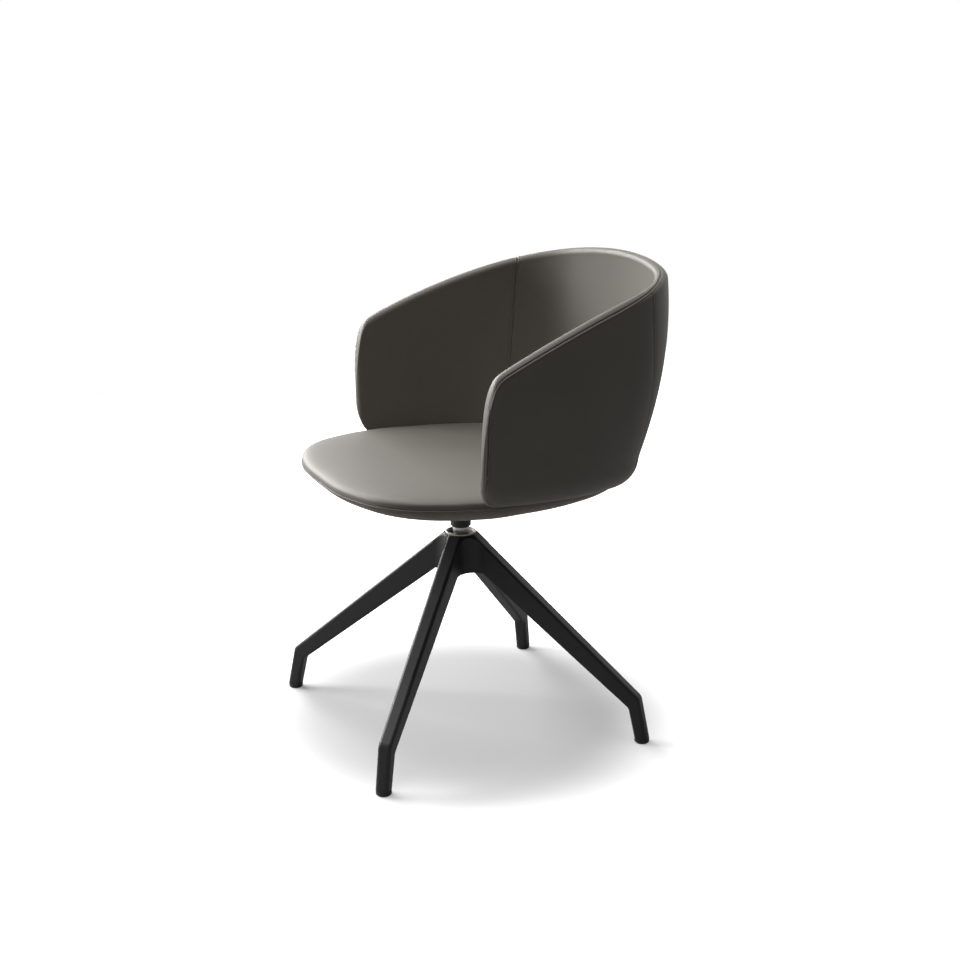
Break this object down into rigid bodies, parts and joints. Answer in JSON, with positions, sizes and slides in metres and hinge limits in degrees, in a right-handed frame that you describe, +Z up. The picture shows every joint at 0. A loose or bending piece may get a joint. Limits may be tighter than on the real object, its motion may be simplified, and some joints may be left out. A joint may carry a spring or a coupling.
{
  "type": "swivel chair",
  "caption": "Upholstered swivel tub chair: one curved back and arm shell round a crowned seat, on a black cast base with straight legs and low glides.",
  "frame": {"origin": "on the floor, on the spindle's axis", "axes": "+Z up, the sitter faces -Y, +X is the sitter's left arm"},
  "size_m": [0.5904, 0.5715, 0.795],
  "materials": {
    "leather": "smooth satin leather, warm grey",
    "leather_shade": "smooth satin leather, warm grey, darker under the seat",
    "cast_base": "cast aluminium, satin black powder coat",
    "black_plastic": "matt black moulded plastic",
    "ring_steel": "light turned ring",
    "bright_spindle": "ground bright steel",
    "machined_steel": "turned steel, zinc plated",
    "bearing_steel": "ground bearing steel",
    "ball_steel": "polished balls",
    "cage_brass": "pressed brass",
    "pressed_steel": "pressed steel, black",
    "moulded_plywood": "moulded beech plywood",
    "foam": "open-cell upholstery foam"
  },
  "bodies": {
    "base": {"pyramid_base": "cast_base", "glide_front_left": "black_plastic", "glide_front_right": "black_plastic", "glide_rear_left": "black_plastic", "glide_rear_right": "black_plastic", "bearing_housing": "machined_steel", "hub_ring": "ring_steel", "dust_washer": "black_plastic", "outer_spacer": "machined_steel", "lower_outer_race": "bearing_steel", "upper_outer_race": "bearing_steel"},
    "lower_ball_set": {"lower_balls": "ball_steel", "lower_cage": "cage_brass"},
    "upper_ball_set": {"upper_balls": "ball_steel", "upper_cage": "cage_brass"},
    "seat": {"spindle": "bright_spindle", "inner_spacer": "machined_steel", "lower_inner_race": "bearing_steel", "upper_inner_race": "bearing_steel", "retaining_washer": "machined_steel", "retaining_screw": "machined_steel", "taper_socket": "black_plastic", "seat_plate": "pressed_steel", "plate_screws": "machined_steel", "tee_nuts": "pressed_steel", "seat_pan": "moulded_plywood", "seat_foam": "foam", "seat_top_cover": "leather", "seat_under_cover": "leather_shade", "seat_welt": "leather_shade", "shell_brackets": "pressed_steel", "bracket_screws": "machined_steel", "shell_bolts": "machined_steel", "shell_inserts": "machined_steel", "shell_board": "moulded_plywood", "shell_foam_back": "foam", "shell_foam_left": "foam", "shell_foam_right": "foam", "inner_back_cover": "leather", "outer_back_cover": "leather", "inner_arm_cover_left": "leather", "inner_arm_cover_right": "leather", "outer_arm_cover_left": "leather", "outer_arm_cover_right": "leather"}
  },
  "joints": [
    {"name": "seat_swivel", "type": "hinge", "parent": "base", "child": "seat", "pos_m": [0, 0, 0.3], "axis": [0, 0, 1], "continuous": true},
    {"name": "lower_ball_orbit", "type": "hinge", "parent": "base", "child": "lower_ball_set", "pos_m": [0, 0, 0.2815], "axis": [0, 0, 1], "continuous": true},
    {"name": "upper_ball_orbit", "type": "hinge", "parent": "base", "child": "upper_ball_set", "pos_m": [0, 0, 0.3245], "axis": [0, 0, 1], "continuous": true}
  ],
  "couplings": [
    {"joint": "lower_ball_orbit", "follows": "seat_swivel", "ratio": 0.4194},
    {"joint": "upper_ball_orbit", "follows": "seat_swivel", "ratio": 0.4194}
  ]
}
